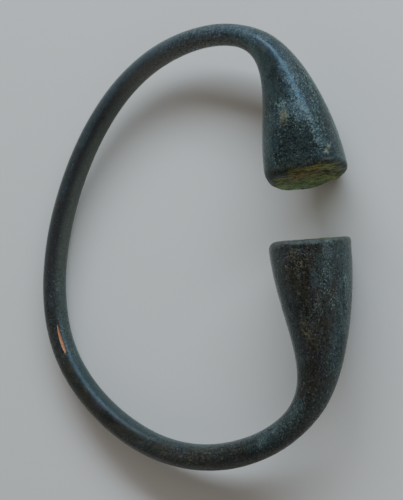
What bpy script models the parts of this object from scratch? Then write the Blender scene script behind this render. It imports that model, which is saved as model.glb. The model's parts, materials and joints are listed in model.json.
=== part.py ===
"""Bronze torc: one cast ring of round section, open at the front between two trumpet terminals.

The ring is drawn flat in its own plane, X from the back of the hoop to the terminals and Y up the
open side, and swept from the lower end face round the back to the upper one. It is then laid on
the ground, where it rests on the hoop and on the rims of both terminals, with +Z up and the
origin under the middle of its box.
"""
import math

import bmesh
import bpy
import numpy as np
from mathutils import Matrix, Vector

# Lengths are in metres. Loop, measured on the centre line from the middle of the gap
LOOP_DEPTH = 0.101
LOOP_ABOVE = 0.0508
LOOP_BELOW = 0.0714
GAP = 0.0175
UPPER_SET_BACK = 0.0008

# Hand-bent run of the loop from the lower neck round to the upper shoulder: each station is
# a share of the depth (0 at the back, 1 at the end faces) and of the height above or below
STATION_SHARES = (
    (1.007, -0.741),
    (0.721, -0.986),
    (0.220, -0.842),
    (0.046, -0.588),
    (0.152, 0.433),
    (0.532, 0.963),
    (0.833, 0.904),
)

# Hoop, thickest below and thinnest above, as thickness at three of the stations
HOOP_THICKNESS_BELOW = 0.0078
HOOP_THICKNESS_BACK = 0.0072
HOOP_THICKNESS_ABOVE = 0.0065

# Terminals: width of the end face, length of the flare, and how far the end face
# leans away from the back of the hoop and pitches up out of the ring's plane
LOWER_FACE_WIDTH = 0.0232
LOWER_FLARE_LENGTH = 0.058
LOWER_LEAN = math.radians(-3.0)
LOWER_PITCH = math.radians(2.5)
UPPER_FACE_WIDTH = 0.0234
UPPER_FLARE_LENGTH = 0.053
UPPER_LEAN = math.radians(20.0)
UPPER_PITCH = math.radians(6.5)

# Rims, rounded most on the worn side, where the upper one is worn further back. Sides of a
# section are angles from the outside of the ring: 90 degrees is its top, 180 its inside
RIM_ROUNDING_SHARP = 0.0012
RIM_ROUNDING_WORN = 0.0023
UPPER_RIM_WEAR = 0.0024
RIM_WORN_SIDE = math.radians(150.0)

# Flat worn on the upper terminal, deepest at the rim
FLAT_SIDE = math.radians(55.0)
FLAT_LENGTH = 0.017
FLAT_DEPTH = 0.0025
FLAT_CRISPNESS = 14

# Chip out of the upper rim
CHIP_SIDE = math.radians(264.0)
CHIP_HALF_SPAN = math.radians(22.0)
CHIP_INWARD = 0.0018
CHIP_DEPTH = 0.0008

# Fineness of the faceted surface
SIDES = 32
RING_STEP = 0.0035
RIM_STEPS = 4
SAMPLES_PER_SPAN = 40

PATINA = (0.030, 0.048, 0.050, 1.0)
PATINA_ROUGHNESS = 0.42
PATINA_METALLIC = 0.55


def heading(lean, pitch, up_or_down):
    """Direction in which an end face looks: along Y, leaned towards +X and pitched towards +Z."""
    flat = math.cos(pitch)
    return np.array([math.sin(lean) * flat, up_or_down * math.cos(lean) * flat, math.sin(pitch)])


LOWER_HEADING = heading(LOWER_LEAN, LOWER_PITCH, 1.0)
UPPER_HEADING = heading(UPPER_LEAN, UPPER_PITCH, -1.0)


def loop_knots():
    """Points that the centre line passes through, from the lower end face to the upper one."""
    knots = [(LOOP_DEPTH, -GAP / 2, 0.0)]
    for depth_share, height_share in STATION_SHARES:
        height = LOOP_ABOVE if height_share > 0 else LOOP_BELOW
        knots.append((depth_share * LOOP_DEPTH, height_share * height, 0.0))
    knots.append((LOOP_DEPTH - UPPER_SET_BACK, GAP / 2, 0.0))
    return np.array(knots)


def smooth_slopes(knots, spans, first, last):
    """Slopes that make a cubic through the knots bend evenly, with set headings at its ends."""
    count = len(knots)
    system = np.eye(count)
    target = np.zeros((count, 3))
    target[0], target[-1] = first, last
    for i in range(1, count - 1):
        before, after = spans[i - 1], spans[i]
        system[i, i - 1:i + 2] = after, 2 * (before + after), before
        step_in, step_out = knots[i] - knots[i - 1], knots[i + 1] - knots[i]
        target[i] = 3 * (after / before * step_in + before / after * step_out)
    return np.linalg.solve(system, target)


def centre_line():
    """Centre line as many close points, with the distance run at each point and at each knot."""
    knots = loop_knots()
    spans = np.linalg.norm(np.diff(knots, axis=0), axis=1)
    slopes = smooth_slopes(knots, spans, -LOWER_HEADING, UPPER_HEADING)
    share = np.linspace(0.0, 1.0, SAMPLES_PER_SPAN, endpoint=False)[:, None]
    points = []
    for i, span in enumerate(spans):
        points.append((2 * share ** 3 - 3 * share ** 2 + 1) * knots[i]
                      + (share ** 3 - 2 * share ** 2 + share) * span * slopes[i]
                      + (3 * share ** 2 - 2 * share ** 3) * knots[i + 1]
                      + (share ** 3 - share ** 2) * span * slopes[i + 1])
    points = np.concatenate(points + [knots[-1:]])
    steps = np.linalg.norm(np.diff(points, axis=0), axis=1)
    run = np.concatenate([[0.0], np.cumsum(steps)])
    return points, run, run[::SAMPLES_PER_SPAN]


def flare(distance, length):
    """Share of a terminal's swell that is left at a distance from its end face."""
    return 0.5 * (1.0 + math.cos(math.pi * min(max(distance / length, 0.0), 1.0)))


class Torc:
    """Centre line and section of the ring, asked for by the distance run from the lower end."""

    def __init__(self):
        self.points, self.run, knot_run = centre_line()
        self.length = self.run[-1]
        self.headings = np.gradient(self.points, self.run, axis=0)
        self.headings[0], self.headings[-1] = -LOWER_HEADING, UPPER_HEADING
        self.hoop_run = knot_run[[2, 4, 6]]
        self.hoop_radius = np.array([HOOP_THICKNESS_BELOW, HOOP_THICKNESS_BACK, HOOP_THICKNESS_ABOVE]) / 2
        self.flat_start = self.round_radius(self.length - FLAT_LENGTH)

    def place(self, run):
        """Centre, heading, outer side and top of the section at a distance."""
        centre = np.array([np.interp(run, self.run, self.points[:, i]) for i in range(3)])
        ahead = np.array([np.interp(run, self.run, self.headings[:, i]) for i in range(3)])
        ahead /= np.linalg.norm(ahead)
        outer = np.cross((0.0, 0.0, 1.0), ahead)
        outer /= np.linalg.norm(outer)
        return centre, ahead, outer, np.cross(ahead, outer)

    def round_radius(self, run):
        """Radius of the section before any flat is worn on it."""
        hoop = np.interp(run, self.hoop_run, self.hoop_radius)
        lower = (LOWER_FACE_WIDTH / 2 - hoop) * flare(run, LOWER_FLARE_LENGTH)
        upper = (UPPER_FACE_WIDTH / 2 - hoop) * flare(self.length - run, UPPER_FLARE_LENGTH)
        return hoop + lower + upper

    def radius(self, run, side):
        """Radius of the section towards one side, held back by the flat on the upper terminal."""
        radius = self.round_radius(run)
        at_rim = UPPER_FACE_WIDTH / 2 - FLAT_DEPTH
        reach = at_rim + (self.flat_start - at_rim) * (self.length - run) / FLAT_LENGTH
        toward = max(math.cos(side - FLAT_SIDE), 0.0) * radius / reach
        return radius * (1.0 + toward ** FLAT_CRISPNESS) ** (-1.0 / FLAT_CRISPNESS)

    def ring(self, run):
        """One closed section of points square to the centre line."""
        centre, _, outer, top = self.place(run)
        ring = []
        for side in ring_sides():
            radius = self.radius(run, side)
            ring.append(centre + radius * (math.cos(side) * outer + math.sin(side) * top))
        return ring

    def rim_ring(self, end_run, turn):
        """One section of a rim as it turns over, from 0 at the flare to 90 degrees at the end face."""
        centre, ahead, outer, top = self.place(end_run)
        into_metal = 1.0 if end_run == 0.0 else -1.0
        ring = []
        for side in ring_sides():
            inward, depth = rim_size(side, end_run > 0.0)
            back = depth * (1.0 - math.sin(turn))
            radius = self.radius(end_run + into_metal * back, side) - inward * (1.0 - math.cos(turn))
            radial = math.cos(side) * outer + math.sin(side) * top
            ring.append(centre + into_metal * back * ahead + radius * radial)
        return ring


def ring_sides():
    """Angles of the points around a section."""
    return [2 * math.pi * i / SIDES for i in range(SIDES)]


def rim_size(side, upper):
    """How far the rim is rounded inward and along the terminal on one side, chip and all."""
    worn = 0.5 * (1.0 + math.cos(side - RIM_WORN_SIDE))
    rounding = RIM_ROUNDING_SHARP + (RIM_ROUNDING_WORN - RIM_ROUNDING_SHARP) * worn
    if not upper:
        return rounding, rounding
    off_chip = math.remainder(side - CHIP_SIDE, 2 * math.pi) / CHIP_HALF_SPAN
    chip = 0.5 * (1.0 + math.cos(math.pi * off_chip)) if abs(off_chip) < 1 else 0.0
    return rounding + chip * CHIP_INWARD, rounding + worn * UPPER_RIM_WEAR + chip * CHIP_DEPTH


def torc_rings():
    """All sections in order: lower rim, flare, hoop, flare and upper rim."""
    torc = Torc()
    turns = [math.pi / 2 * i / RIM_STEPS for i in range(RIM_STEPS + 1)]
    rim_room = 1.3 * (max(RIM_ROUNDING_SHARP, RIM_ROUNDING_WORN) + max(UPPER_RIM_WEAR, CHIP_DEPTH))
    count = round((torc.length - 2 * rim_room) / RING_STEP)
    lower = [torc.rim_ring(0.0, turn) for turn in reversed(turns)]
    body = [torc.ring(run) for run in np.linspace(rim_room, torc.length - rim_room, count + 1)]
    upper = [torc.rim_ring(torc.length, turn) for turn in turns]
    return lower + body + upper


def sweep_mesh(rings):
    """Closed mesh that joins the sections and caps both ends flat."""
    bm = bmesh.new()
    loops = [[bm.verts.new(point) for point in ring] for ring in rings]
    for here, there in zip(loops, loops[1:]):
        for i in range(SIDES):
            j = (i + 1) % SIDES
            bm.faces.new((here[i], here[j], there[j], there[i]))
    bm.faces.new(reversed(loops[0]))
    bm.faces.new(loops[-1])
    bmesh.ops.recalc_face_normals(bm, faces=bm.faces)
    return bm


def centre_of_mass(bm):
    """Centroid of the metal inside a closed mesh, from its tetrahedra about the origin."""
    volume, moment = 0.0, Vector()
    for triangle in bm.calc_loop_triangles():
        a, b, c = (corner.vert.co for corner in triangle)
        part = a.dot(b.cross(c))
        volume += part
        moment += part * (a + b + c) / 4
    return moment / volume


def resting_normal(bm, balance):
    """Outward normal of the convex hull's face that lies under the centre of mass."""
    hull = bmesh.new()
    for vert in bm.verts:
        hull.verts.new(vert.co)
    bmesh.ops.convex_hull(hull, input=hull.verts)
    lowest, under = 0.0, None
    for face in hull.faces:
        a, b, c = (vert.co for vert in face.verts)
        if holds_point_below(a, b, c, balance):
            normal = (b - a).cross(c - a).normalized()
            height = (a - balance).dot(normal) / normal.z
            if height < lowest:
                lowest, under = height, -normal if normal.z > 0 else normal
    hull.free()
    return under


def holds_point_below(a, b, c, point):
    """Whether a point stands over a triangle, looking straight down."""
    turns = [(q - p).xy.cross((point - p).xy) for p, q in ((a, b), (b, c), (c, a))]
    return all(turn >= 0 for turn in turns) or all(turn <= 0 for turn in turns)


def lay_on_ground(bm):
    """Placement that turns the resting face down and puts the origin under the box's middle."""
    under = resting_normal(bm, centre_of_mass(bm))
    turn = under.rotation_difference(Vector((0.0, 0.0, -1.0))).to_matrix().to_4x4()
    laid = np.array([turn @ vert.co for vert in bm.verts])
    low, high = laid.min(axis=0), laid.max(axis=0)
    middle = (low + high) / 2
    return Matrix.Translation((-middle[0], -middle[1], -low[2])) @ turn


def patina_material():
    """Dark blue-green patina on bronze."""
    material = bpy.data.materials.new("patina")
    material.use_nodes = True
    shader = material.node_tree.nodes["Principled BSDF"]
    shader.inputs["Base Color"].default_value = PATINA
    shader.inputs["Roughness"].default_value = PATINA_ROUGHNESS
    shader.inputs["Metallic"].default_value = PATINA_METALLIC
    return material


def build_torc():
    """The torc as one object, lying on the ground."""
    bm = sweep_mesh(torc_rings())
    placement = lay_on_ground(bm)
    mesh = bpy.data.meshes.new("torc")
    bm.to_mesh(mesh)
    bm.free()
    mesh.shade_smooth()
    mesh.set_sharp_from_angle(angle=math.radians(50.0))
    mesh.materials.append(patina_material())
    torc = bpy.data.objects.new("torc", mesh)
    torc.matrix_world = placement
    bpy.context.scene.collection.objects.link(torc)
    return torc


for old in list(bpy.data.objects):
    bpy.data.objects.remove(old, do_unlink=True)

build_torc()
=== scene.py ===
"""Looks of the bronze torc: its worn and pitted surface, its patina with painted shade and highlights laid
into its colour, a pale floor and soft light.

The ring is built here again from the same sizes as its solid, much finer, with the unevenness of a
hand-finished casting, corrosion pits and rough end faces as real relief. It is drawn flat in its
own plane, as the solid is, and laid down by the two end faces that the record states.
"""
import json
import math

import bpy
import numpy as np
from mathutils import Matrix, Vector, noise

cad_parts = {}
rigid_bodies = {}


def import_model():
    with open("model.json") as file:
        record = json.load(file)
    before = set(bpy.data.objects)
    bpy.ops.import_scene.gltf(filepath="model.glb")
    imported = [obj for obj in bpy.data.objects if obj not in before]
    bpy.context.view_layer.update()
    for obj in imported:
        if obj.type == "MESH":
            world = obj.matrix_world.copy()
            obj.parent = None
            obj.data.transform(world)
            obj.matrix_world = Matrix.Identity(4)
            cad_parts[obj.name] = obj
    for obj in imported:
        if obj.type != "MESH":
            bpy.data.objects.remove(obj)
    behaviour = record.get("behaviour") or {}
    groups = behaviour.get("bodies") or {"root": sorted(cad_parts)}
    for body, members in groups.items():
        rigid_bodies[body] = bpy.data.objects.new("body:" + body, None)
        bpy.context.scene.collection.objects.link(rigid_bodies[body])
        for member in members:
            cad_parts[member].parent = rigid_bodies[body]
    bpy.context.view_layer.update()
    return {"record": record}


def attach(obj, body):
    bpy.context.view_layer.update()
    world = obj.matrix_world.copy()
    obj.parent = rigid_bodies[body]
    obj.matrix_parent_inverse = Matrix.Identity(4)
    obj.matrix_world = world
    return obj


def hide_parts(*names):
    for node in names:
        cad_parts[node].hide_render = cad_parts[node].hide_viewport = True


# Sizes of the solid, in metres
LOOP_DEPTH = 0.101
LOOP_ABOVE = 0.0508
LOOP_BELOW = 0.0714
GAP = 0.0175
UPPER_SET_BACK = 0.0008
STATION_SHARES = (
    (1.007, -0.741),
    (0.721, -0.986),
    (0.220, -0.842),
    (0.046, -0.588),
    (0.152, 0.433),
    (0.532, 0.963),
    (0.833, 0.904),
)
HOOP_THICKNESS_BELOW = 0.0078
HOOP_THICKNESS_BACK = 0.0072
HOOP_THICKNESS_ABOVE = 0.0065
LOWER_FACE_WIDTH = 0.0232
LOWER_FLARE_LENGTH = 0.058
LOWER_LEAN = math.radians(-3.0)
LOWER_PITCH = math.radians(2.5)
UPPER_FACE_WIDTH = 0.0234
UPPER_FLARE_LENGTH = 0.053
UPPER_LEAN = math.radians(20.0)
UPPER_PITCH = math.radians(6.5)
RIM_ROUNDING_SHARP = 0.0012
RIM_ROUNDING_WORN = 0.0023
UPPER_RIM_WEAR = 0.0024
RIM_WORN_SIDE = math.radians(150.0)
FLAT_SIDE = math.radians(55.0)
FLAT_LENGTH = 0.017
FLAT_DEPTH = 0.0025
FLAT_CRISPNESS = 14
CHIP_SIDE = math.radians(264.0)
CHIP_HALF_SPAN = math.radians(22.0)
CHIP_INWARD = 0.0018
CHIP_DEPTH = 0.0008

# Fineness of the visible surface
SIDES = 156
TERMINAL_STEP = 0.00046
HOOP_STEP = 0.00085
RIM_ROOM = 1.3 * (RIM_ROUNDING_WORN + UPPER_RIM_WEAR)
RIM_STEPS = 7
SHOULDER_STEPS = 10
FACE_STEPS = 30
SAMPLES_PER_SPAN = 200

# Values stored with the mesh, for the patina and for the painted highlights and painted shade laid into it
MARK_NAMES = (
    "face", "pale", "ochre", "haze", "spot", "bare", "scar", "flat", "worn", "calm", "rubbed", "crest",
)

# Grain of the rough end faces, in the plane of the section
FACE_GRAIN = math.radians(-35.0)

# Marks, each along a line from one place to another: distance run, side in degrees, distance run,
# side in degrees, reach and strength. At its reach from the line a mark is half as strong
PALE_MARKS = (
    (0.3256, 77.0, 0.3262, 71.0, 0.0012, 1.0),
    (0.330, 58.0, 0.331, 44.0, 0.0024, 0.55),
    (0.318, 40.0, 0.327, 38.0, 0.0022, 0.35),
    (0.329, 35.0, 0.3425, 21.0, 0.0011, 0.85),
    (0.319, 359.0, 0.335, 17.0, 0.0014, 0.5),
    (0.3405, 11.0, 0.343, 16.0, 0.0009, 0.7),
    (0.002, 26.0, 0.013, 33.0, 0.0013, 0.5),
    (0.014, 36.0, 0.020, 49.0, 0.0018, 0.5),
    (0.0165, 20.0, 0.019, 24.0, 0.0016, 0.4),
    (0.012, 357.0, 0.020, 353.0, 0.0007, 0.9),
    (0.003, 72.0, 0.0035, 66.0, 0.0010, 0.6),
    (0.048, 80.0, 0.053, 66.0, 0.0020, 0.6),
    (0.054, 92.0, 0.058, 93.0, 0.0018, 0.6),
    (0.064, 90.0, 0.066, 84.0, 0.0012, 0.8),
)
OCHRE_MARKS = (
    (0.3285, 71.0, 0.3320, 75.0, 0.0015, 1.0),
    (0.3415, 12.0, 0.3440, 17.0, 0.0008, 1.0),
    (0.004, 76.0, 0.007, 66.0, 0.0018, 0.8),
    (0.005, 90.0, 0.008, 86.0, 0.0016, 0.7),
    (0.0245, 76.0, 0.027, 73.0, 0.0018, 1.0),
    (0.087, 98.0, 0.092, 90.0, 0.0024, 0.6),
    (0.097, 104.0, 0.103, 96.0, 0.0024, 0.6),
)
SPOT_MARKS = (
    (0.3411, 11.0, 0.3420, 10.0, 0.00040, 0.50),
    (0.3438, 19.5, 0.3434, 16.0, 0.00030, 0.50),
    (0.3434, 13.5, 0.3441, 14.0, 0.00035, 0.30),
    (0.3458, 20.0, 0.3458, 8.0, 0.00035, 0.20),
)
# Highlight haze marks: painted highlights, as pale teal haze with more pale specks, along the lit sides and
# edges of the terminals
HIGHLIGHT_HAZE_MARKS = (
    (0.003, 20.0, 0.012, 38.0, 0.0035, 0.7),
    (0.004, 352.0, 0.018, 356.0, 0.0035, 1.0),
    (0.018, 356.0, 0.034, 4.0, 0.0035, 1.0),
    (0.034, 4.0, 0.050, 12.0, 0.0035, 0.55),
    (0.004, 116.0, 0.034, 124.0, 0.0036, 0.70),
    (0.312, 49.0, 0.324, 54.0, 0.0010, 0.4),
    (0.300, 116.0, 0.336, 116.0, 0.0040, 0.65),
    (0.329, 56.0, 0.332, 43.0, 0.0030, 1.0),
    (0.048, 84.0, 0.068, 96.0, 0.0032, 1.0),
)

# Places with less casting roughness and fewer specks, drawn as the marks are
CALM_MARKS = (
    (0.302, 105.0, 0.322, 92.0, 0.0036, 0.5),
    (0.308, 76.0, 0.321, 66.0, 0.0032, 0.8),
    (0.092, 140.0, 0.104, 140.0, 0.0035, 0.3),
    (0.104, 140.0, 0.116, 140.0, 0.0040, 0.5),
    (0.116, 140.0, 0.150, 140.0, 0.0045, 0.75),
    (0.110, 210.0, 0.150, 210.0, 0.0045, 0.6),
)

# Bands of painted blue highlight on the hoop and upper terminal, drawn as the marks are
PAINTED_HIGHLIGHT_MARKS = (
    (0.206, 103.0, 0.224, 98.0, 0.0009, 0.65),
    (0.224, 98.0, 0.240, 92.0, 0.0011, 0.85),
    (0.240, 92.0, 0.262, 76.0, 0.0013, 0.85),
    (0.262, 76.0, 0.284, 64.0, 0.0018, 0.85),
    (0.284, 64.0, 0.300, 54.0, 0.0018, 0.75),
    (0.313, 49.0, 0.324, 54.0, 0.0008, 0.35),
    (0.3285, 54.0, 0.331, 40.0, 0.0022, 0.75),
)

# Where marks end, as a multiple of their reach
MARK_END = 1.5

# The scratch and the round scar: distance run, side and size, and what makes the scratch's outline 1
# where it is widest
SCRATCH_RUN = (0.1560, 0.1665)
SCRATCH_SIDE = math.radians(130.5)
SCRATCH_HALF_WIDTH = 0.00057
SCRATCH_WIDEST = 2.6
SCAR_RUN = 0.3438
SCAR_SIDE = math.radians(13.0)
SCAR_RADIUS = 0.0017
SCAR_HALF_WIDTH = 0.0004

# Where the flat's painted shade and its duller roughness set in, as the share of the flat's distance that
# the round section reaches
FLAT_EDGE_START = 0.94
FLAT_EDGE_WIDTH = 0.10

# Blunt crest that runs on from the edge of the flat: distance run and side in degrees
CREST_LINE = ((0.296, 58.0), (0.304, 50.0), (0.310, 41.0), (0.316, 36.0), (0.323, 34.0), (0.330, 33.0))
CREST_HEIGHT = 0.00028
CREST_REACH = 0.0028
CREST_START_LENGTH = 0.012

# Relief: heights and sizes of swells, roughness, layers and crusts, and how deep marks go
BROAD_HEIGHT = 0.00008
BROAD_SIZE = 0.014
BROAD_STRETCH = (0.6, 1.0, 1.0)
MIDDLE_HEIGHT = 0.00004
MIDDLE_SIZE = 0.0042
MIDDLE_STRETCH = (0.35, 1.0, 1.0)
CAST_HEIGHT = 0.000022
CAST_SIZE = 0.0014
CALM_SMOOTHING = 0.7
LAYER_HEIGHT = 0.00024
LAYER_SIZE = 0.0017
LAYER_STRETCH = 0.22
FACE_HEIGHT = 0.00008
FACE_SIZE = 0.0009
CRUST_THICKNESS = 0.00002
CRUST_HEIGHT = 0.00004
CRUST_SIZE = 0.0007
SCRATCH_DEPTH = 0.00010
SCAR_DEPTH = 0.00010

# Pits: spacing, share of places that have one, and depth
LARGE_PITS = (0.0024, 0.16, 0.00009)
SMALL_PITS = (0.0013, 0.25, 0.00006)
PIT_RADIUS_SHARE = 0.45

# Stretch of the hoop that handling has worn smooth: where it sets in and where it is full
WORN_FROM = (0.140, 0.205)
WORN_TO = (0.283, 0.255)

# Tones of the patina, and of the painted shade and highlights laid into it, as linear red, green, blue and
# cover
TEAL = (0.011, 0.022, 0.020, 1.0)
BROWN = (0.027, 0.018, 0.010, 1.0)
VIOLET = (0.033, 0.032, 0.048, 1.0)
# Haze of the patina, which on the highlight haze marks is a painted highlight
HAZE_AND_PAINTED_HIGHLIGHT = (0.048, 0.069, 0.069, 1.0)
DARK_OLIVE = (0.052, 0.046, 0.018, 1.0)
BLACK = (0.006, 0.006, 0.006, 1.0)
NEUTRAL = (0.024, 0.022, 0.017, 1.0)
DUST = (0.060, 0.059, 0.052, 1.0)
HOOP_GREY = (0.052, 0.056, 0.047, 1.0)
# Painted shade along the middle of the worn hoop
HOOP_MIDDLE_PAINTED_SHADE = (0.038, 0.033, 0.035, 1.0)
# Painted light on the inner side of the ring, and under the top of the hoop
INNER_PAINTED_LIGHT_TEAL = (0.036, 0.051, 0.050, 1.0)
INNER_PAINTED_LIGHT_GREY = (0.105, 0.115, 0.090, 1.0)
TOP_INNER_PAINTED_LIGHT = (0.165, 0.160, 0.142, 1.0)
# Painted light on the outer edge of the worn hoop
OUTER_PAINTED_LIGHT_GREY = (0.090, 0.098, 0.096, 1.0)
# Painted shade on the flat of the upper terminal
FLAT_PAINTED_SHADE = (0.018, 0.016, 0.006, 1.0)
# Painted blue highlight for the bands on the hoop and upper terminal
PAINTED_HIGHLIGHT_BLUE = (0.058, 0.072, 0.084, 1.0)
# Blue of the worn crest, partly a painted highlight along it
WORN_CREST_AND_PAINTED_HIGHLIGHT_BLUE = (0.060, 0.085, 0.110, 1.0)
SCAR_DARK = (0.014, 0.024, 0.028, 1.0)
RIM_GREY = (0.085, 0.088, 0.066, 1.0)
COOL_SPECK = (0.15, 0.21, 0.22, 1.0)
CREAM_SPECK = (0.32, 0.34, 0.27, 1.0)
OCHRE = (0.21, 0.165, 0.075, 1.0)
# Orange of the drop-shaped scratch, which the shader also makes a little metallic
ORANGE_SCRATCH_TONE = (0.42, 0.17, 0.085, 1.0)
FACE_GREEN = (0.225, 0.340, 0.125, 1.0)
FACE_YELLOW = (0.180, 0.195, 0.050, 1.0)
FACE_RIGHT = (0.225, 0.250, 0.080, 1.0)
FACE_RUST = (0.290, 0.168, 0.034, 1.0)
FACE_DARK = (0.042, 0.044, 0.013, 1.0)
FACE_CORNER = (0.060, 0.062, 0.040, 1.0)

# How much of the tones below it each tone hides where it is full
COVER = {
    "violet": 0.7,
    "streaks": 0.45,
    "black": 0.8,
    "hoop grey": 0.85,
    # Painted shade in the hoop's middle, and painted light on the ring's inner side, the worn hoop's outer
    # edge and under the top of the hoop
    "hoop middle painted shade": 0.8,
    "inside": 0.75,
    "outside": 0.5,
    "top inside painted light": 0.78,
    # The flat: painted shade
    "flat": 0.45,
    # Painted blue highlight bands
    "rubbed": 0.85,
    "dim grains": 0.45,
    "clumps": 0.35,
    "crust": 0.45,
    # The crest: blue wear, partly a painted highlight
    "crest": 0.65,
    "scar": 0.6,
    "rim": 0.7,
    "face right": 0.8,
    "lower face": 0.75,
}

# Uneven patches: size in metres, detail, roughness, and the noise at which they set in and are full
PATCHES = {
    "brown": (0.006, 6.0, 0.65, 0.40, 0.56),
    "violet": (0.0045, 5.0, 0.65, 0.50, 0.64),
    "clouds": (0.0030, 6.0, 0.80, 0.46, 0.68),
    "streaks": (0.0017, 5.0, 0.75, 0.48, 0.62),
    "olive": (0.0036, 6.0, 0.85, 0.52, 0.64),
    "black": (0.0050, 6.0, 0.85, 0.50, 0.62),
    "grain": (0.0007, 4.0, 0.85, 0.36, 0.64),
    "clumps": (0.0009, 5.0, 0.80, 0.52, 0.62),
    "pale specks": (0.005, 4.0, 0.70, 0.42, 0.62),
    "ochre specks": (0.009, 3.0, 0.60, 0.52, 0.68),
    "crest": (0.0010, 4.0, 0.80, 0.40, 0.62),
    "spots": (0.0007, 3.0, 0.70, 0.25, 0.55),
    "rim": (0.0012, 5.0, 0.80, 0.40, 0.62),
    "rust": (0.0030, 4.0, 0.80, 0.38, 0.58),
    "face streaks": (0.0008, 4.0, 0.75, 0.38, 0.62),
    "shine": (0.0014, 4.0, 0.80, 0.30, 0.75),
}

# Noise: size in metres, detail, roughness and, where it has one, warp
NOISES = {
    "hoop edge": (0.003, 4.0, 0.70),
    # Scalloped edge of the painted blue highlight bands
    "painted highlight edge": (0.0022, 5.0, 0.75),
    "crust": (0.0011, 4.0, 0.80),
    "face edge": (0.0018, 4.0, 0.80),
    "face layers": (0.0014, 5.0, 0.80, 0.4),
    "coarse bumps": (0.0020, 3.0, 0.60),
    "fine bumps": (0.0006, 2.0, 0.60),
}

# Grains and specks: size, how far their outlines wander, and the chance at which a grain is a speck
GRAIN_SIZE = 0.00032
GRAIN_WARP_SIZE = 0.0006
GRAIN_WARP = 0.0004
SPECK_EDGE = (1.0, 1.12)
CALM_FEWER_SPECKS = 0.8
GRAIN_BUMP = 0.00011

# What makes patches longer along the ring
LONGER = (0.4, 1.0, 1.0)
MUCH_LONGER = (0.13, 1.0, 1.0)

# Where tones set in and where they are full, as distances run
FAR_FROM_UPPER = (0.30, 0.25)
UPPER_FACE = (0.1, 0.2)
LOWER_FACE = (0.2, 0.1)
# Stretch of the top of the hoop that gets painted light on its underside
TOP_HOOP_FROM = (0.235, 0.262)
TOP_HOOP_TO = (0.318, 0.294)

# The same, as distances from the hoop's middle towards the inside of the ring and its underside, a
# direction given by its shares outward and upward
INWARD = (-0.8, -0.6)
# Where painted shade in the hoop's middle and painted light on the inner side and outer edge set in
HOOP_MIDDLE = (-0.0028, -0.0014)
HOOP_INSIDE = (-0.0002, 0.0022)
HOOP_OUTSIDE = (-0.0024, -0.0034)

# The same, as a distance from the hoop's middle straight outward
# Where painted light under the top of the hoop sets in
TOP_INSIDE = (0.0002, -0.0026)

# The same on the end faces, as distances along their grain and across it from their middle
RIGHT_PART = (0.0010, 0.0060)
FAR_RIGHT = (0.0075, 0.0105)
LEFT_CORNER = (-0.0085, -0.0115)
LEFT_PART = (-0.0025, -0.0080)
TOP_PART = (0.0028, 0.0065)
YELLOW_PART = (-0.008, 0.004)
BOTTOM_PART = (0.0, -0.006)
RUST_FROM = (-0.0008, 0.0028)
RUST_TO = (0.0105, 0.0075)
RUST_RIGHT_END = (0.0070, 0.0030)
RUST_LEFT_END = (-0.0072, -0.0036)

# Camera, aimed down at the ring from its open side
CAMERA_AZIMUTH = math.radians(-2.0)
CAMERA_ELEVATION = math.radians(52.6)
CAMERA_ROLL = math.radians(-87.7)
CAMERA_DISTANCE = 0.697
CAMERA_AIM = Vector((0.008, -0.0007, 0.0115))
CAMERA_LENS = 173.7

# Floor, soft panel and room: sizes, tones and light
FLOOR_WIDTH = 3.0
FLOOR_TONE = (0.92, 0.865, 0.81, 1.0)
FLOOR_ROUGHNESS = 0.75
PANEL_DIRECTION = (0.22, 0.86, 0.45)
PANEL_DISTANCE = 1.0
PANEL_WIDTH = 1.7
PANEL_HEIGHT = 0.26
PANEL_POWER = 16.5
PANEL_TONE = (0.68, 0.85, 1.0)
ROOM_TONE = (1.0, 0.98, 0.93, 1.0)
ROOM_LIGHT = 0.38
OVERHEAD_LIGHT = 0.03
OVERHEAD_FROM = 0.55
OVERHEAD_TO = 0.92


def heading(lean, pitch, up_or_down):
    """Direction in which an end face looks: along Y, leaned towards +X and pitched towards +Z."""
    flat = math.cos(pitch)
    return np.array([math.sin(lean) * flat, up_or_down * math.cos(lean) * flat, math.sin(pitch)])


LOWER_HEADING = heading(LOWER_LEAN, LOWER_PITCH, 1.0)
UPPER_HEADING = heading(UPPER_LEAN, UPPER_PITCH, -1.0)


def loop_knots():
    """Points that the centre line passes through, from the lower end face to the upper one."""
    knots = [(LOOP_DEPTH, -GAP / 2, 0.0)]
    for depth_share, height_share in STATION_SHARES:
        height = LOOP_ABOVE if height_share > 0 else LOOP_BELOW
        knots.append((depth_share * LOOP_DEPTH, height_share * height, 0.0))
    knots.append((LOOP_DEPTH - UPPER_SET_BACK, GAP / 2, 0.0))
    return np.array(knots)


def smooth_slopes(knots, spans, first, last):
    """Slopes that make a cubic through the knots bend evenly, with set headings at its ends."""
    count = len(knots)
    system = np.eye(count)
    target = np.zeros((count, 3))
    target[0], target[-1] = first, last
    for i in range(1, count - 1):
        before, after = spans[i - 1], spans[i]
        system[i, i - 1:i + 2] = after, 2 * (before + after), before
        step_in, step_out = knots[i] - knots[i - 1], knots[i + 1] - knots[i]
        target[i] = 3 * (after / before * step_in + before / after * step_out)
    return np.linalg.solve(system, target)


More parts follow.
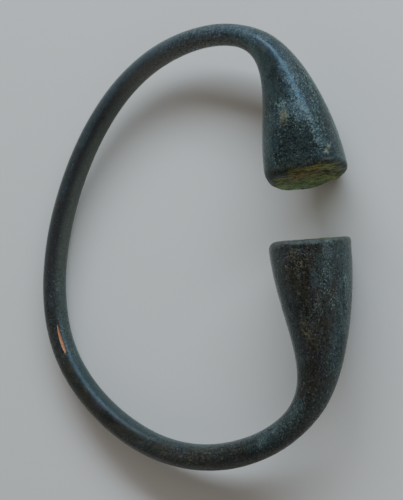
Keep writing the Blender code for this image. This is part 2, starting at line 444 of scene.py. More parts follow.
def centre_line():
    """Centre line as many close points, with the distance run at each point and at each knot."""
    knots = loop_knots()
    spans = np.linalg.norm(np.diff(knots, axis=0), axis=1)
    slopes = smooth_slopes(knots, spans, -LOWER_HEADING, UPPER_HEADING)
    share = np.linspace(0.0, 1.0, SAMPLES_PER_SPAN, endpoint=False)[:, None]
    points = []
    for i, span in enumerate(spans):
        points.append((2 * share ** 3 - 3 * share ** 2 + 1) * knots[i]
                      + (share ** 3 - 2 * share ** 2 + share) * span * slopes[i]
                      + (3 * share ** 2 - 2 * share ** 3) * knots[i + 1]
                      + (share ** 3 - share ** 2) * span * slopes[i + 1])
    points = np.concatenate(points + [knots[-1:]])
    steps = np.linalg.norm(np.diff(points, axis=0), axis=1)
    run = np.concatenate([[0.0], np.cumsum(steps)])
    return points, run, run[::SAMPLES_PER_SPAN]


def flare(distance, length):
    """Share of a terminal's swell that is left at each distance from its end face."""
    return 0.5 * (1.0 + np.cos(np.pi * np.clip(distance / length, 0.0, 1.0)))


def columns(values, at, places):
    """Three-dimensional values read between their samples."""
    return np.stack([np.interp(places, at, values[:, i]) for i in range(3)], axis=-1)


class Torc:
    """The ring's surface without relief, as arrays over the distance run and the side."""

    def __init__(self):
        self.points, self.run, knot_run = centre_line()
        self.length = self.run[-1]
        self.headings = np.gradient(self.points, self.run, axis=0)
        self.headings[0], self.headings[-1] = -LOWER_HEADING, UPPER_HEADING
        self.hoop_run = knot_run[[2, 4, 6]]
        self.hoop_radius = np.array([HOOP_THICKNESS_BELOW, HOOP_THICKNESS_BACK, HOOP_THICKNESS_ABOVE]) / 2
        self.flat_start = self.round_radius(self.length - FLAT_LENGTH)

    def place(self, run):
        """Centres, headings, outer sides and tops of the sections at these distances."""
        centre = columns(self.points, self.run, run)
        ahead = columns(self.headings, self.run, run)
        ahead /= np.linalg.norm(ahead, axis=-1, keepdims=True)
        outer = np.cross((0.0, 0.0, 1.0), ahead)
        outer /= np.linalg.norm(outer, axis=-1, keepdims=True)
        return centre, ahead, outer, np.cross(ahead, outer)

    def round_radius(self, run):
        """Radius of the section before any flat is worn on it."""
        hoop = np.interp(run, self.hoop_run, self.hoop_radius)
        lower = (LOWER_FACE_WIDTH / 2 - hoop) * flare(run, LOWER_FLARE_LENGTH)
        upper = (UPPER_FACE_WIDTH / 2 - hoop) * flare(self.length - run, UPPER_FLARE_LENGTH)
        return hoop + lower + upper

    def over_flat(self, run, side):
        """How far the round section reaches towards the flat, as a share of the flat's own distance."""
        at_rim = UPPER_FACE_WIDTH / 2 - FLAT_DEPTH
        reach = at_rim + (self.flat_start - at_rim) * (self.length - run) / FLAT_LENGTH
        return np.maximum(np.cos(side - FLAT_SIDE), 0.0) * self.round_radius(run) / reach

    def radius(self, run, side):
        """Radius towards one side, held back by the flat on the upper terminal."""
        toward = self.over_flat(run, side)
        return self.round_radius(run) * (1.0 + toward ** FLAT_CRISPNESS) ** (-1.0 / FLAT_CRISPNESS)

    def skin(self, run, side):
        """Surface points and their outward directions at these distances and sides, one for each."""
        centre, _, outer, top = self.place(run)
        radial = np.cos(side)[:, None] * outer + np.sin(side)[:, None] * top
        return centre + self.radius(run, side)[:, None] * radial, radial


def rim_size(side, upper):
    """How far the rim is rounded inward and along the terminal on each side, chip and all."""
    worn = 0.5 * (1.0 + np.cos(side - RIM_WORN_SIDE))
    rounding = RIM_ROUNDING_SHARP + (RIM_ROUNDING_WORN - RIM_ROUNDING_SHARP) * worn
    if not upper:
        return rounding, rounding
    off_chip = (np.mod(side - CHIP_SIDE + math.pi, 2 * math.pi) - math.pi) / CHIP_HALF_SPAN
    chip = 0.5 * (1.0 + np.cos(np.pi * np.clip(off_chip, -1.0, 1.0)))
    return rounding + chip * CHIP_INWARD, rounding + worn * UPPER_RIM_WEAR + chip * CHIP_DEPTH


class Sheet:
    """Rows of surface points with their normals and their places on the ring laid out straight."""

    def __init__(self):
        self.points, self.normals, self.rod, self.face = [], [], [], []

    def add(self, points, normals, run, radius, side, face):
        """One closed row of points. The straight ring runs along X, with its outside at +Y and top at +Z."""
        run = np.broadcast_to(run, side.shape)
        self.points.append(points)
        self.normals.append(normals)
        self.rod.append(np.stack([run, radius * np.cos(side), radius * np.sin(side)], axis=-1))
        self.face.append(np.full(side.shape, face))


class End:
    """One end of the ring, drawn straight back from its end face."""

    def __init__(self, torc, upper, side):
        self.torc, self.side = torc, side
        self.run = torc.length if upper else 0.0
        self.into_metal = -1.0 if upper else 1.0
        self.centre, self.ahead, outer, top = (v[0] for v in torc.place(np.array([self.run])))
        self.radial = np.cos(side)[:, None] * outer + np.sin(side)[:, None] * top
        self.out = -self.into_metal * self.ahead
        self.inward, self.depth = rim_size(side, upper)

    def run_at(self, back):
        """Distances run of places this far back from the end face."""
        return self.run + self.into_metal * back

    def points(self, back, radius):
        """Points this far back from the end face and this far from its middle."""
        return self.centre + (self.into_metal * back)[:, None] * self.ahead + radius[:, None] * self.radial


def shoulder_rows(end, sheet):
    """Rows from the body to the start of the rim, which isn't equally far back on each side."""
    for share in np.arange(1, SHOULDER_STEPS) / SHOULDER_STEPS:
        back = RIM_ROOM + share * (end.depth - RIM_ROOM)
        run = end.run_at(back)
        radius = end.torc.radius(run, end.side)
        on_curve, _ = end.torc.skin(run, end.side)
        points = share * end.points(back, radius) + (1.0 - share) * on_curve
        sheet.add(points, end.radial, run, radius, end.side, 0.0)


def rim_rows(end, sheet):
    """Rows over the rounded rim."""
    for turn in np.linspace(0.0, math.pi / 2, RIM_STEPS + 1):
        back = end.depth * (1.0 - math.sin(turn))
        run = end.run_at(back)
        radius = end.torc.radius(run, end.side) - end.inward * (1.0 - math.cos(turn))
        normals = math.cos(turn) * end.radial + math.sin(turn) * end.out
        sheet.add(end.points(back, radius), normals, run, radius, end.side, math.sin(turn) ** 2)


def face_rows(end, sheet):
    """Rows of the end face, from its edge to its middle."""
    edge = end.torc.radius(end.run, end.side) - end.inward
    normals = np.tile(end.out, (len(end.side), 1))
    for share in np.linspace(1.0, 0.0, FACE_STEPS + 1)[1:]:
        points = end.centre + share * edge[:, None] * end.radial
        sheet.add(points, normals, end.run, share * edge, end.side, 1.0)


def end_sheet(torc, upper, side):
    """Rows of one end, from the shoulder over the rim to the middle of the end face."""
    end, sheet = End(torc, upper, side), Sheet()
    shoulder_rows(end, sheet)
    rim_rows(end, sheet)
    face_rows(end, sheet)
    return sheet


def body_runs(torc):
    """Distances of the rows between the two rims, closer together on the terminals."""
    ends = [RIM_ROOM, LOWER_FLARE_LENGTH, torc.length - UPPER_FLARE_LENGTH, torc.length - RIM_ROOM]
    runs = []
    for first, last, step in zip(ends, ends[1:], (TERMINAL_STEP, HOOP_STEP, TERMINAL_STEP)):
        runs.append(np.linspace(first, last, round((last - first) / step), endpoint=False))
    return np.concatenate(runs + [ends[-1:]])


def torc_sheet(torc):
    """All rows in order, from the middle of the lower end face to the middle of the upper one."""
    side = np.arange(SIDES) * 2 * math.pi / SIDES
    lower, body, upper = end_sheet(torc, False, side), Sheet(), end_sheet(torc, True, side)
    for run in body_runs(torc):
        points, radial = torc.skin(np.full(side.shape, run), side)
        body.add(points, radial, run, torc.radius(run, side), side, 0.0)

    def joined(name):
        return np.array(getattr(lower, name)[::-1] + getattr(body, name) + getattr(upper, name))

    return {name: joined(name) for name in ("points", "normals", "rod", "face")}


def swell(points, size, octaves=1):
    """Smooth noise between about -1 and 1 with features of one size in metres."""
    flat = points.reshape(-1, 3) / size
    if octaves == 1:
        values = [noise.noise(Vector(p)) for p in flat]
    else:
        values = [noise.fractal(Vector(p), 1.0, 2.0, octaves) for p in flat]
    return np.array(values).reshape(points.shape[:-1])


def pits(points, size, share, depth):
    """Round pits: some cells of a field of points, each a smooth hollow of its own depth."""
    flat = points.reshape(-1, 3) / size
    hollow = np.zeros(len(flat))
    for i, p in enumerate(flat):
        distances, nearest = noise.voronoi(Vector(p))
        chance = 0.5 + 0.5 * noise.cell(nearest[0] * 7.31)
        from_middle = distances[0] / PIT_RADIUS_SHARE
        if chance < share and from_middle < 1.0:
            hollow[i] = (1.0 - from_middle ** 2) ** 2 * (0.4 + 0.6 * chance / share)
    return -depth * hollow.reshape(points.shape[:-1])


def face_layers(rod, stretch):
    """Places turned to the grain of the end faces and stretched along it."""
    along = rod[..., 1] * math.cos(FACE_GRAIN) + rod[..., 2] * math.sin(FACE_GRAIN)
    across = rod[..., 2] * math.cos(FACE_GRAIN) - rod[..., 1] * math.sin(FACE_GRAIN)
    return np.stack([rod[..., 0], along * stretch, across], axis=-1)


def smooth(share):
    """0 below 0, 1 above 1 and an even step between."""
    share = np.clip(share, 0.0, 1.0)
    return share * share * (3.0 - 2.0 * share)


def rod_place(torc, run, side):
    """A place on the ring laid out straight."""
    radius = torc.radius(run, side)
    return np.array([run, radius * math.cos(side), radius * math.sin(side)])


def line_gap(torc, rod, first, last):
    """How far each place lies from a line between two places on the ring."""
    first = rod_place(torc, first[0], math.radians(first[1]))
    along = rod_place(torc, last[0], math.radians(last[1])) - first
    share = np.clip((rod - first) @ along / (along @ along), 0.0, 1.0)
    return np.linalg.norm(rod - first - share[..., None] * along, axis=-1)


def marked(torc, rod, marks):
    """How strongly the marks show at each place: in full on their lines and not at all away from them."""
    strength = np.zeros(rod.shape[:-1])
    for first_run, first_side, last_run, last_side, reach, most in marks:
        gap = line_gap(torc, rod, (first_run, first_side), (last_run, last_side))
        strength = np.maximum(strength, most * smooth(MARK_END - gap / reach))
    return strength


def crested(torc, rod):
    """The blunt crest above the flat: 1 on its line, falling evenly to 0."""
    gaps = [line_gap(torc, rod, first, last) for first, last in zip(CREST_LINE, CREST_LINE[1:])]
    gap = np.min(gaps, axis=0)
    start = smooth((rod[..., 0] - CREST_LINE[0][0]) / CREST_START_LENGTH)
    return start * np.exp(1.0 - np.sqrt(1.0 + (gap / CREST_REACH * 2.0) ** 2))


def worn_smooth(rod):
    """The stretch of the hoop that is worn smooth: 1 there and 0 at the terminals."""
    run = rod[..., 0]
    into = smooth((run - WORN_FROM[0]) / (WORN_FROM[1] - WORN_FROM[0]))
    out = smooth((WORN_TO[0] - run) / (WORN_TO[0] - WORN_TO[1]))
    return into * out


def scratched(torc, rod):
    """The drop-shaped orange scratch: 1 in its middle and 0 outside it."""
    share = np.clip((rod[..., 0] - SCRATCH_RUN[0]) / (SCRATCH_RUN[1] - SCRATCH_RUN[0]), 0.0, 1.0)
    half_width = SCRATCH_HALF_WIDTH * SCRATCH_WIDEST * np.sqrt(share) * (1.0 - share)
    middle = rod_place(torc, sum(SCRATCH_RUN) / 2, SCRATCH_SIDE)
    across = np.linalg.norm((rod - middle)[..., 1:], axis=-1)
    return smooth(1.5 * (1.0 - across / np.maximum(half_width, 1e-6)))


def flattened(torc, rod):
    """The worn flat on the upper terminal: 1 on it and 0 away from it."""
    side = np.arctan2(rod[..., 2], rod[..., 1])
    return smooth((torc.over_flat(rod[..., 0], side) - FLAT_EDGE_START) / FLAT_EDGE_WIDTH)


def scarred(torc, rod):
    """The round scar near the upper rim: 1 on its ring and 0 away from it."""
    gap = np.linalg.norm(rod - rod_place(torc, SCAR_RUN, SCAR_SIDE), axis=-1)
    return smooth(1.6 - np.abs(gap - SCAR_RADIUS) / SCAR_HALF_WIDTH)


def relief(rod, face, marks):
    """Height of the real surface over the smooth one."""
    height = BROAD_HEIGHT * swell(rod * BROAD_STRETCH, BROAD_SIZE)
    height += MIDDLE_HEIGHT * swell(rod * MIDDLE_STRETCH, MIDDLE_SIZE)
    rough = 1.0 - CALM_SMOOTHING * marks["calm"]
    height += rough * CAST_HEIGHT * swell(rod, CAST_SIZE, 3)
    height += rough * pits(rod, *LARGE_PITS)
    height += rough * pits(rod + 0.5, *SMALL_PITS)
    layers = LAYER_HEIGHT * swell(face_layers(rod, LAYER_STRETCH), LAYER_SIZE, 3)
    height += face * (layers + FACE_HEIGHT * swell(rod, FACE_SIZE, 2))
    crust = marks["pale"] + marks["ochre"]
    height += crust * (CRUST_THICKNESS + CRUST_HEIGHT * swell(rod, CRUST_SIZE, 2))
    height += CREST_HEIGHT * marks["crest"]
    return height - SCRATCH_DEPTH * marks["bare"] - SCAR_DEPTH * marks["scar"]


def mesh_from_rows(name, points):
    """Closed mesh from rows of points whose first and last rows are single points."""
    rows, sides = points.shape[:2]
    inner = points[1:-1].reshape(-1, 3)
    verts = np.concatenate([points[:1, 0], inner, points[-1:, 0]])
    last = len(verts) - 1
    faces = []
    for row in range(rows - 3):
        start = 1 + row * sides
        for i in range(sides):
            j = (i + 1) % sides
            faces.append((start + i, start + j, start + sides + j, start + sides + i))
    top = 1 + (rows - 3) * sides
    for i in range(sides):
        j = (i + 1) % sides
        faces.append((0, 1 + j, 1 + i))
        faces.append((last, top + i, top + j))
    mesh = bpy.data.meshes.new(name)
    mesh.from_pydata([tuple(v) for v in verts], [], faces)
    mesh.validate()
    return mesh


def single_ends(values):
    """The values of mesh_from_rows's points, in the same order."""
    inner = values[1:-1].reshape((-1,) + values.shape[2:])
    return np.concatenate([values[:1, 0], inner, values[-1:, 0]])


def ground_placement(record):
    """Turn and shift that bring the drawn end faces onto the end faces that the record states."""
    mounts = {mount["name"]: mount for mount in record["mounts"]}
    faces = [mounts["lower_end_face"], mounts["upper_end_face"]]
    knots = loop_knots()
    drawn = end_frame(LOWER_HEADING, UPPER_HEADING)
    laid = end_frame(*(np.array(face["axis"], float) for face in faces))
    turn = laid @ drawn.T
    middle = (knots[0] + knots[-1]) / 2
    shift = np.mean([face["pos_m"] for face in faces], axis=0) - turn @ middle
    return turn, shift


def end_frame(lower, upper):
    """Three square axes fixed by the headings of the two end faces."""
    first = lower - upper
    first /= np.linalg.norm(first)
    third = np.cross(lower, upper)
    third /= np.linalg.norm(third)
    return np.stack([first, np.cross(third, first), third], axis=1)


class Nodes:
    """A material's node tree, built up in reading order."""

    def __init__(self, name):
        self.material = bpy.data.materials.new(name)
        self.material.use_nodes = True
        self.tree = self.material.node_tree
        self.shader = self.tree.nodes["Principled BSDF"]

    def put(self, socket, value):
        """Sets a socket to a plain value or links it to another socket."""
        if isinstance(value, bpy.types.NodeSocket):
            self.tree.links.new(value, socket)
        else:
            socket.default_value = value

    def add(self, kind, inputs=None, **settings):
        """A node with its settings and inputs."""
        node = self.tree.nodes.new(kind)
        for key, value in settings.items():
            setattr(node, key, value)
        for key, value in (inputs or {}).items():
            self.put(node.inputs[key], value)
        return node

    def math(self, operation, *values):
        """One operation on numbers."""
        node = self.tree.nodes.new("ShaderNodeMath")
        node.operation = operation
        for socket, value in zip(node.inputs, values):
            self.put(socket, value)
        return node.outputs[0]

    def times(self, first, *others):
        """Numbers multiplied in order."""
        for other in others:
            first = self.math("MULTIPLY", first, other)
        return first

    def times_plus(self, value, factor, extra):
        """A number multiplied by one and added to another."""
        return self.math("MULTIPLY_ADD", value, factor, extra)

    def attribute(self, name, output):
        """A value stored with the mesh."""
        return self.add("ShaderNodeAttribute", attribute_name=name).outputs[output]

    def stretch(self, vector, scale):
        """A place with its axes scaled."""
        node = self.tree.nodes.new("ShaderNodeVectorMath")
        node.operation = "MULTIPLY"
        self.put(node.inputs[0], vector)
        node.inputs[1].default_value = scale
        return node.outputs[0]

    def noise(self, vector, size, detail=3.0, rough=0.55, warp=0.0):
        """Noise with features of one size in metres, from 0 to 1."""
        node = self.add("ShaderNodeTexNoise", {
            "Vector": vector, "Scale": 1.0 / size, "Detail": detail, "Roughness": rough, "Distortion": warp})
        return node.outputs["Fac"]

    def patches(self, vector, name, warp=0.0):
        """Uneven patches: 1 on them, 0 off them and a soft edge between."""
        size, detail, rough, low, high = PATCHES[name]
        return self.ramp(self.noise(vector, size, detail, rough, warp), low, high)

    def shifted(self, vector, distance):
        """A place moved the same way along each axis."""
        node = self.tree.nodes.new("ShaderNodeVectorMath")
        node.operation = "ADD"
        self.put(node.inputs[0], vector)
        node.inputs[1].default_value = (distance, distance, distance)
        return node.outputs[0]

    def warped(self, vector, size, distance):
        """A place pushed about by noise, so that what is drawn on it gets uneven outlines."""
        push = self.add("ShaderNodeTexNoise", {"Vector": vector, "Scale": 1.0 / size, "Detail": 2.0})
        node = self.tree.nodes.new("ShaderNodeVectorMath")
        node.operation = "MULTIPLY_ADD"
        self.put(node.inputs[0], push.outputs["Color"])
        node.inputs[1].default_value = (distance, distance, distance)
        self.put(node.inputs[2], vector)
        return node.outputs[0]

    def grains(self, vector, size):
        """Three chances from 0 to 1 that change from grain to grain."""
        node = self.add("ShaderNodeTexVoronoi", {"Vector": vector, "Scale": 1.0 / size})
        parts = self.add("ShaderNodeSeparateColor", {"Color": node.outputs["Color"]})
        return [parts.outputs[name] for name in ("Red", "Green", "Blue")]

    def face_layers(self, vector, stretch):
        """A place turned to the grain of the end faces and stretched along it."""
        turn = {"Vector": vector, "Angle": -FACE_GRAIN}
        node = self.add("ShaderNodeVectorRotate", turn, rotation_type="X_AXIS")
        return self.stretch(node.outputs["Vector"], (1.0, stretch, 1.0))

    def face_place(self, vector):
        """How far a place lies from the middle of the section, along the end faces' grain and across it."""
        turned = self.add("ShaderNodeSeparateXYZ", {"Vector": self.face_layers(vector, 1.0)})
        return turned.outputs["Y"], turned.outputs["Z"]

    def brighten(self, colour, factor):
        """A colour multiplied by a number."""
        node = self.tree.nodes.new("ShaderNodeVectorMath")
        node.operation = "SCALE"
        self.put(node.inputs[0], colour)
        self.put(node.inputs["Scale"], factor)
        return node.outputs[0]

    def ramp(self, value, low, high):
        """Smooth step from 0 at low to 1 at high."""
        node = self.add("ShaderNodeMapRange", {
            "Value": value, "From Min": low, "From Max": high}, interpolation_type="SMOOTHSTEP")
        return node.outputs["Result"]

    def mix(self, share, first, second):
        """A colour between two, by a share."""
        node = self.add("ShaderNodeMix", data_type="RGBA")
        self.put(node.inputs["Factor"], share)
        self.put(node.inputs["A"], first)
        self.put(node.inputs["B"], second)
        return node.outputs["Result"]


class Patina(Nodes):
    """The patina's nodes, with the places on the ring and the marks that its tones are worked out from."""

    def __init__(self):
        super().__init__("patinated_bronze")
        self.rod = self.attribute("rod", "Vector")
        self.mark = {name: self.attribute(name, "Fac") for name in MARK_NAMES}
        places = self.add("ShaderNodeSeparateXYZ", {"Vector": self.rod}).outputs
        self.run = places["X"]
        self.outward = places["Y"]
        self.inward = self.times_plus(places["Y"], INWARD[0], self.times(places["Z"], INWARD[1]))
        self.along = self.stretch(self.rod, LONGER)
        self.rough_cast = self.times_plus(self.mark["calm"], -CALM_FEWER_SPECKS, 1.0)
        self.chance, self.tone, self.hue = self.grains(self.uneven_rod(), GRAIN_SIZE)
        self.bright = self.math("POWER", self.tone, 3.0)
        self.far_from_upper = self.ramp(self.run, *FAR_FROM_UPPER)
        # Haze on the upper terminal and dust elsewhere, pulled to haze as a painted highlight on the
        # highlight haze marks
        self.veil = self.mix(self.math("SUBTRACT", self.far_from_upper, self.mark["haze"]), HAZE_AND_PAINTED_HIGHLIGHT, DUST)
        self.layers = self.noise(self.face_layers(self.rod, 0.4), *NOISES["face layers"])
        self.along_face, self.across_face = self.face_place(self.rod)
        self.pale_speck = self.pale_specks()
        self.rim = self.times(self.mark["face"], self.math("SUBTRACT", 1.0, self.mark["face"]), 4.0)
        self.face_share = self.end_face_share()

    def uneven_rod(self):
        """Places on the ring, pushed about so that grains get uneven outlines."""
        return self.warped(self.rod, GRAIN_WARP_SIZE, GRAIN_WARP)

    def cover(self, share, colour, tone, name):
        """A colour with a tone laid over it where the share is high."""
        return self.mix(self.times(share, COVER[name]), colour, tone)

    def pale_specks(self):
        """Which grains are pale specks: more in clusters and in pale marks, and more in the highlight haze
        and on the crest, where they are painted glints.
        """
        share = self.times_plus(self.patches(self.rod, "pale specks"), 0.26, 0.08)
        share = self.times_plus(self.mark["haze"], 0.10, share)
        # More pale specks on the crest: painted glints
        share = self.times_plus(self.mark["crest"], 0.14, share)
        share = self.times_plus(self.mark["pale"], 0.42, self.times(share, self.rough_cast))
        return self.ramp(self.math("ADD", self.chance, share), *SPECK_EDGE)

    def end_face_share(self):
        """How far the tones of the end face show, up to an uneven edge."""
        edge = self.times_plus(self.noise(self.rod, *NOISES["face edge"]), 1.4, -0.7)
        edge = self.math("ADD", self.mark["face"], edge)
        edge = self.times_plus(self.ramp(self.along_face, *FAR_RIGHT), -0.25, edge)
        left_top = self.times(self.ramp(self.along_face, *LEFT_PART), self.ramp(self.across_face, *TOP_PART))
        edge = self.times_plus(left_top, -0.8, edge)
        return self.ramp(edge, 0.50, 1.2)


def mottled(n):
    """Teal and brown-black, clouded with violet, haze, olive and black; on the highlight haze marks the haze
    is a painted highlight.
    """
    brown = n.patches(n.along, "brown", warp=0.3)
    brown = n.times(brown, n.times_plus(n.far_from_upper, 0.5, 0.5))
    colour = n.mix(brown, n.mix(n.far_from_upper, TEAL, NEUTRAL), BROWN)
    colour = n.cover(n.patches(n.shifted(n.along, 0.3), "violet"), colour, VIOLET, "violet")
    # More haze clouds on the highlight haze marks: a painted highlight
    clouds = n.times(n.patches(n.along, "clouds"), n.times_plus(n.mark["haze"], 0.5, 0.35))
    clouds = n.times_plus(n.mark["haze"], 0.45, clouds)
    colour = n.mix(n.math("MINIMUM", clouds, 1.0), colour, n.veil)
    streaks = n.times(n.patches(n.stretch(n.rod, MUCH_LONGER), "streaks"), n.rough_cast)
    colour = n.cover(streaks, colour, n.veil, "streaks")
    olive = n.times(n.patches(n.rod, "olive"), n.times_plus(n.mark["haze"], -0.5, 0.6))
    colour = n.mix(olive, colour, DARK_OLIVE)
    return n.cover(n.patches(n.shifted(n.along, 0.5), "black"), colour, BLACK, "black")


def worn_hoop_with_painted_light(n, colour):
    """The hoop's tones: grey where it is worn, painted shade along its middle, and painted light on the
    ring's inner side, the worn hoop's outer edge and under the top of the hoop.
    """
    worn = n.mark["worn"]
    colour = n.cover(worn, colour, HOOP_GREY, "hoop grey")
    # Painted shade along the hoop's middle
    middle = n.times(n.ramp(n.inward, *HOOP_MIDDLE), worn)
    colour = n.cover(middle, colour, HOOP_MIDDLE_PAINTED_SHADE, "hoop middle painted shade")
    # Painted light on the ring's inner side
    uneven = n.times_plus(n.noise(n.rod, *NOISES["hoop edge"]), 0.0016, -0.0008)
    inside = n.ramp(n.math("ADD", n.inward, uneven), *HOOP_INSIDE)
    colour = n.cover(inside, colour, n.mix(worn, INNER_PAINTED_LIGHT_TEAL, INNER_PAINTED_LIGHT_GREY), "inside")
    # Painted light on the worn hoop's outer edge
    outside = n.times(n.ramp(n.inward, *HOOP_OUTSIDE), worn)
    colour = n.cover(outside, colour, OUTER_PAINTED_LIGHT_GREY, "outside")
    # Painted light under the top of the hoop
    top_hoop = n.times(n.ramp(n.run, *TOP_HOOP_FROM), n.ramp(n.run, *TOP_HOOP_TO))
    top_inside_painted_light = n.times(n.ramp(n.outward, *TOP_INSIDE), top_hoop)
    return n.cover(top_inside_painted_light, colour, TOP_INNER_PAINTED_LIGHT, "top inside painted light")


def painted_flat_shade_and_highlight(n, colour):
    """Painted shade on the flat of the upper terminal, and painted blue highlight in bands on the hoop and
    upper terminal.
    """
    flat = n.mark["flat"]
    # Painted shade: the flat is darkened and blackened
    colour = n.brighten(colour, n.times_plus(flat, -0.62, 1.0))
    colour = n.cover(flat, colour, FLAT_PAINTED_SHADE, "flat")
    # Painted blue highlight in bands, with scalloped edges
    scallops = n.times_plus(n.noise(n.rod, *NOISES["painted highlight edge"]), 2.0, -1.0)
    rubbed = n.ramp(n.math("ADD", n.mark["rubbed"], scallops), 0.25, 1.05)
    return n.cover(rubbed, colour, PAINTED_HIGHLIGHT_BLUE, "rubbed")


def grained(n, colour):
    """Fine grains of uneven brightness, some of them hazy, alone and in clumps."""
    grain = n.math("ADD", n.patches(n.rod, "grain"), n.tone)
    grain = n.times_plus(grain, 0.80, -0.75)
    colour = n.brighten(colour, n.times_plus(grain, n.rough_cast, 1.0))
    dim_grains = n.times(n.ramp(n.hue, 0.55, 0.95), n.rough_cast)
    colour = n.cover(dim_grains, colour, n.veil, "dim grains")
    clumps = n.times(n.patches(n.rod, "clumps"), n.rough_cast)
    return n.cover(clumps, colour, n.veil, "clumps")


def pale_speckled(n, colour):
    """Cool and cream specks."""
    speck_tone = n.mix(n.ramp(n.hue, 0.45, 0.75), COOL_SPECK, CREAM_SPECK)
    strength = n.times_plus(n.mark["pale"], 0.22, n.times_plus(n.bright, 0.34, 0.08))
    # Stronger specks on the crest: painted glints
    strength = n.times_plus(n.mark["crest"], 0.08, strength)
    return n.mix(n.times(n.pale_speck, strength), colour, speck_tone)


def ochre_speckled(n, colour):
    """Ochre specks, and a thin ochre crust in the ochre marks."""
    ochre_mark = n.mark["ochre"]
    cluster = n.times(n.patches(n.rod, "ochre specks"), 0.16)
    share = n.math("MAXIMUM", cluster, n.times(ochre_mark, 0.45))
    speck = n.ramp(n.math("ADD", n.hue, share), *SPECK_EDGE)
    strength = n.times_plus(ochre_mark, 0.20, n.times_plus(n.bright, 0.45, 0.10))
    colour = n.mix(n.times(speck, strength), colour, OCHRE)
    crust = n.times_plus(n.noise(n.rod, *NOISES["crust"]), 2.4, n.math("SUBTRACT", ochre_mark, 1.2))
    return n.cover(n.ramp(crust, 0.95, 1.30), colour, OCHRE, "crust")


def crest_scar_and_rim(n, colour):
    """A blue worn crest that is partly a painted highlight, the dark scar with its pale spots, and worn grey
    rims.
    """
    # Blue on the worn crest, partly a painted highlight
    crest = n.times(n.math("POWER", n.mark["crest"], 2.0), n.patches(n.rod, "crest"))
    colour = n.cover(crest, colour, WORN_CREST_AND_PAINTED_HIGHLIGHT_BLUE, "crest")
    colour = n.cover(n.mark["scar"], colour, SCAR_DARK, "scar")
    spots = n.times(n.mark["spot"], n.patches(n.rod, "spots"))
    colour = n.mix(spots, colour, CREAM_SPECK)
    return n.cover(n.times(n.rim, n.patches(n.rod, "rim")), colour, RIM_GREY, "rim")


def rust_share(n, near_rim):
    """Where the upper end face is rusty: in a band across its middle, in patches."""
    share = n.times(n.ramp(near_rim, *RUST_FROM), n.ramp(near_rim, *RUST_TO))
    share = n.times(share, n.ramp(n.along_face, *RUST_RIGHT_END), n.ramp(n.along_face, *RUST_LEFT_END))
    return n.times(share, n.ramp(n.run, *UPPER_FACE), n.patches(n.face_layers(n.rod, 0.5), "rust"))


def end_face_tones(n):
    """Layers of green, yellow, rust and black on the upper end face, and duller ones on the lower."""
    near_rim = n.math("ADD", n.across_face, n.times_plus(n.layers, 0.024, -0.012))
    right_part = n.ramp(n.along_face, *RIGHT_PART)
    colour = n.mix(n.ramp(near_rim, *YELLOW_PART), FACE_GREEN, FACE_YELLOW)
    colour = n.cover(right_part, colour, FACE_RIGHT, "face right")
    colour = n.mix(rust_share(n, near_rim), colour, FACE_RUST)
    dark_layers = n.times_plus(right_part, -0.04, n.layers)
    dark_layers = n.times_plus(n.ramp(near_rim, *BOTTOM_PART), 0.05, dark_layers)
    colour = n.mix(n.ramp(dark_layers, 0.50, 0.42), colour, FACE_DARK)
    colour = n.mix(n.ramp(n.along_face, *LEFT_CORNER), colour, FACE_CORNER)
    lower_tones = n.mix(n.ramp(n.layers, 0.45, 0.55), BROWN, DUST)
    colour = n.cover(n.ramp(n.run, *LOWER_FACE), colour, lower_tones, "lower face")
    streaks = n.patches(n.face_layers(n.rod, 0.3), "face streaks")
    return n.brighten(colour, n.times_plus(streaks, 0.95, n.times_plus(n.tone, 0.8, 0.16)))


def patina_colour(n):
    """All tones of the surface, painted shade and highlights among them, one over the other."""
    colour = mottled(n)
    colour = worn_hoop_with_painted_light(n, colour)
    colour = painted_flat_shade_and_highlight(n, colour)
    colour = grained(n, colour)
    colour = pale_speckled(n, colour)
    colour = ochre_speckled(n, colour)
    colour = crest_scar_and_rim(n, colour)
    colour = n.mix(n.face_share, colour, end_face_tones(n))
    return n.mix(n.ramp(n.mark["bare"], 0.0, 0.5), colour, ORANGE_SCRATCH_TONE)


def patina_roughness(n):
    """Uneven satin, duller on specks, flat, crusts and end faces and glossier on the crest."""
    roughness = n.times_plus(n.patches(n.rod, "shine"), 0.20, 0.20)
    roughness = n.times_plus(n.pale_speck, 0.12, roughness)
    roughness = n.times_plus(n.mark["flat"], 0.12, roughness)
    roughness = n.times_plus(n.math("MAXIMUM", n.face_share, n.rim), 0.25, roughness)
    roughness = n.times_plus(n.mark["bare"], 0.15, roughness)
    roughness = n.times_plus(n.math("MAXIMUM", n.mark["ochre"], n.mark["scar"]), 0.35, roughness)
    roughness = n.times_plus(n.mark["calm"], 0.08, roughness)
    return n.times_plus(n.mark["crest"], -0.10, roughness)


def patina_normal(n):
    """Shading of the grain too fine for the mesh."""
    fine_bumps = n.noise(n.rod, *NOISES["fine bumps"])
    bumps = n.times_plus(n.noise(n.rod, *NOISES["coarse bumps"]), 0.8, fine_bumps)
    bump = n.add("ShaderNodeBump", {"Height": bumps, "Strength": n.rough_cast, "Distance": GRAIN_BUMP})
    return bump.outputs["Normal"]


def patina_material():
    """Dark blue-green patina mottled with brown-black, with pale and ochre specks."""
    n = Patina()
    shader = n.shader.inputs
    n.put(shader["Base Color"], patina_colour(n))
    n.put(shader["Roughness"], patina_roughness(n))
    n.put(shader["Metallic"], n.times(n.mark["bare"], 0.4))
    n.put(shader["Normal"], patina_normal(n))
    shader["Specular IOR Level"].default_value = 0.22
    shader["Specular Tint"].default_value = (0.48, 0.78, 1.0, 1.0)
    shader["Sheen Weight"].default_value = 0.09
    shader["Sheen Roughness"].default_value = 0.5
    shader["Sheen Tint"].default_value = (0.88, 0.92, 0.76, 1.0)
    return n.material


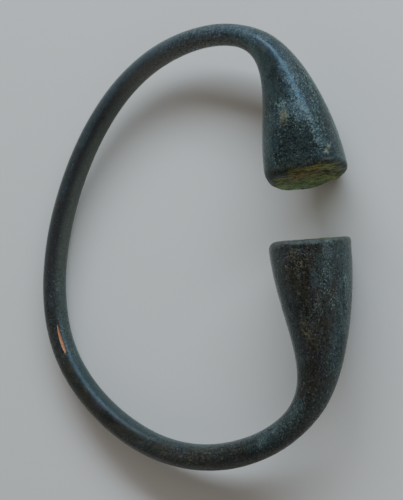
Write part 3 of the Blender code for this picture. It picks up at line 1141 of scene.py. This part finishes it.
def build_torc(record):
    """The visible torc as one mesh in the ground frame."""
    torc = Torc()
    sheet = torc_sheet(torc)
    rod, face = sheet["rod"], sheet["face"]
    marks = {
        "pale": marked(torc, rod, PALE_MARKS),
        "ochre": marked(torc, rod, OCHRE_MARKS),
        "bare": scratched(torc, rod),
        "scar": scarred(torc, rod),
        "haze": marked(torc, rod, HIGHLIGHT_HAZE_MARKS),
        "spot": marked(torc, rod, SPOT_MARKS),
        "calm": np.maximum(marked(torc, rod, CALM_MARKS), 0.85 * worn_smooth(rod)),
        "rubbed": marked(torc, rod, PAINTED_HIGHLIGHT_MARKS),
        "flat": flattened(torc, rod),
        "worn": worn_smooth(rod),
        "crest": crested(torc, rod),
    }
    points = sheet["points"] + relief(rod, face, marks)[..., None] * sheet["normals"]
    turn, shift = ground_placement(record)
    mesh = mesh_from_rows("torc_surface", points @ turn.T + shift)
    mesh.attributes.new("rod", "FLOAT_VECTOR", "POINT").data.foreach_set("vector", single_ends(rod).ravel())
    for name, values in {"face": face, **marks}.items():
        mesh.attributes.new(name, "FLOAT", "POINT").data.foreach_set("value", single_ends(values))
    mesh.shade_smooth()
    mesh.materials.append(patina_material())
    surface = bpy.data.objects.new("torc_surface", mesh)
    bpy.context.scene.collection.objects.link(surface)
    return surface


def plain_material(name, colour, roughness):
    """A matt material of one colour."""
    material = bpy.data.materials.new(name)
    material.use_nodes = True
    shader = material.node_tree.nodes["Principled BSDF"]
    shader.inputs["Base Color"].default_value = colour
    shader.inputs["Roughness"].default_value = roughness
    return material


def build_floor():
    """A wide pale floor at the ground."""
    mesh = bpy.data.meshes.new("floor")
    half = FLOOR_WIDTH / 2
    corners = [(-half, -half, 0), (half, -half, 0), (half, half, 0), (-half, half, 0)]
    mesh.from_pydata(corners, [], [(0, 1, 2, 3)])
    mesh.materials.append(plain_material("pale_floor", FLOOR_TONE, FLOOR_ROUGHNESS))
    floor = bpy.data.objects.new("floor", mesh)
    bpy.context.scene.collection.objects.link(floor)


def camera_axes():
    """Directions from the ring to the camera, to the picture's right and to its top."""
    flat = math.cos(CAMERA_ELEVATION)
    across = (flat * math.cos(CAMERA_AZIMUTH), flat * math.sin(CAMERA_AZIMUTH))
    back = Vector((*across, math.sin(CAMERA_ELEVATION)))
    level = Vector((0.0, 0.0, 1.0)).cross(back).normalized()
    rise = back.cross(level)
    right = math.cos(CAMERA_ROLL) * level + math.sin(CAMERA_ROLL) * rise
    return back, right, back.cross(right)


def build_camera():
    """Camera at the photograph's viewing angle."""
    back, right, up = camera_axes()
    camera = bpy.data.objects.new("camera", bpy.data.cameras.new("camera"))
    place = Matrix((right, up, back)).transposed().to_4x4()
    place.translation = CAMERA_AIM + CAMERA_DISTANCE * back
    camera.matrix_world = place
    camera.data.lens = CAMERA_LENS
    camera.data.clip_start = 0.01
    bpy.context.scene.collection.objects.link(camera)
    bpy.context.scene.camera = camera


def build_panel():
    """A long low cool panel beyond the upper side of the ring, with its width level."""
    toward = Vector(PANEL_DIRECTION).normalized()
    data = bpy.data.lights.new("key", "AREA")
    data.shape = "RECTANGLE"
    data.size, data.size_y = PANEL_WIDTH, PANEL_HEIGHT
    data.energy = PANEL_POWER
    data.color = PANEL_TONE
    light = bpy.data.objects.new("key", data)
    light.location = CAMERA_AIM + PANEL_DISTANCE * toward
    light.rotation_mode = "QUATERNION"
    light.rotation_quaternion = (-toward).to_track_quat("-Z", "Y")
    bpy.context.scene.collection.objects.link(light)


def build_room():
    """Dim even light from all sides that fades to dark overhead."""
    world = bpy.data.worlds.new("room")
    world.use_nodes = True
    tree = world.node_tree
    background = tree.nodes["Background"]
    background.inputs["Color"].default_value = ROOM_TONE
    direction = tree.nodes.new("ShaderNodeTexCoord")
    split = tree.nodes.new("ShaderNodeSeparateXYZ")
    fade = tree.nodes.new("ShaderNodeMapRange")
    fade.interpolation_type = "SMOOTHSTEP"
    fade.inputs["From Min"].default_value = OVERHEAD_FROM
    fade.inputs["From Max"].default_value = OVERHEAD_TO
    fade.inputs["To Min"].default_value = ROOM_LIGHT
    fade.inputs["To Max"].default_value = OVERHEAD_LIGHT
    tree.links.new(direction.outputs["Generated"], split.inputs["Vector"])
    tree.links.new(split.outputs["Z"], fade.inputs["Value"])
    tree.links.new(fade.outputs["Result"], background.inputs["Strength"])
    bpy.context.scene.world = world


for old in list(bpy.data.objects):
    bpy.data.objects.remove(old, do_unlink=True)

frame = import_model()
build_camera()
build_floor()
build_panel()
build_room()
torc_surface = build_torc(frame["record"])
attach(torc_surface, "root")
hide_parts("torc")
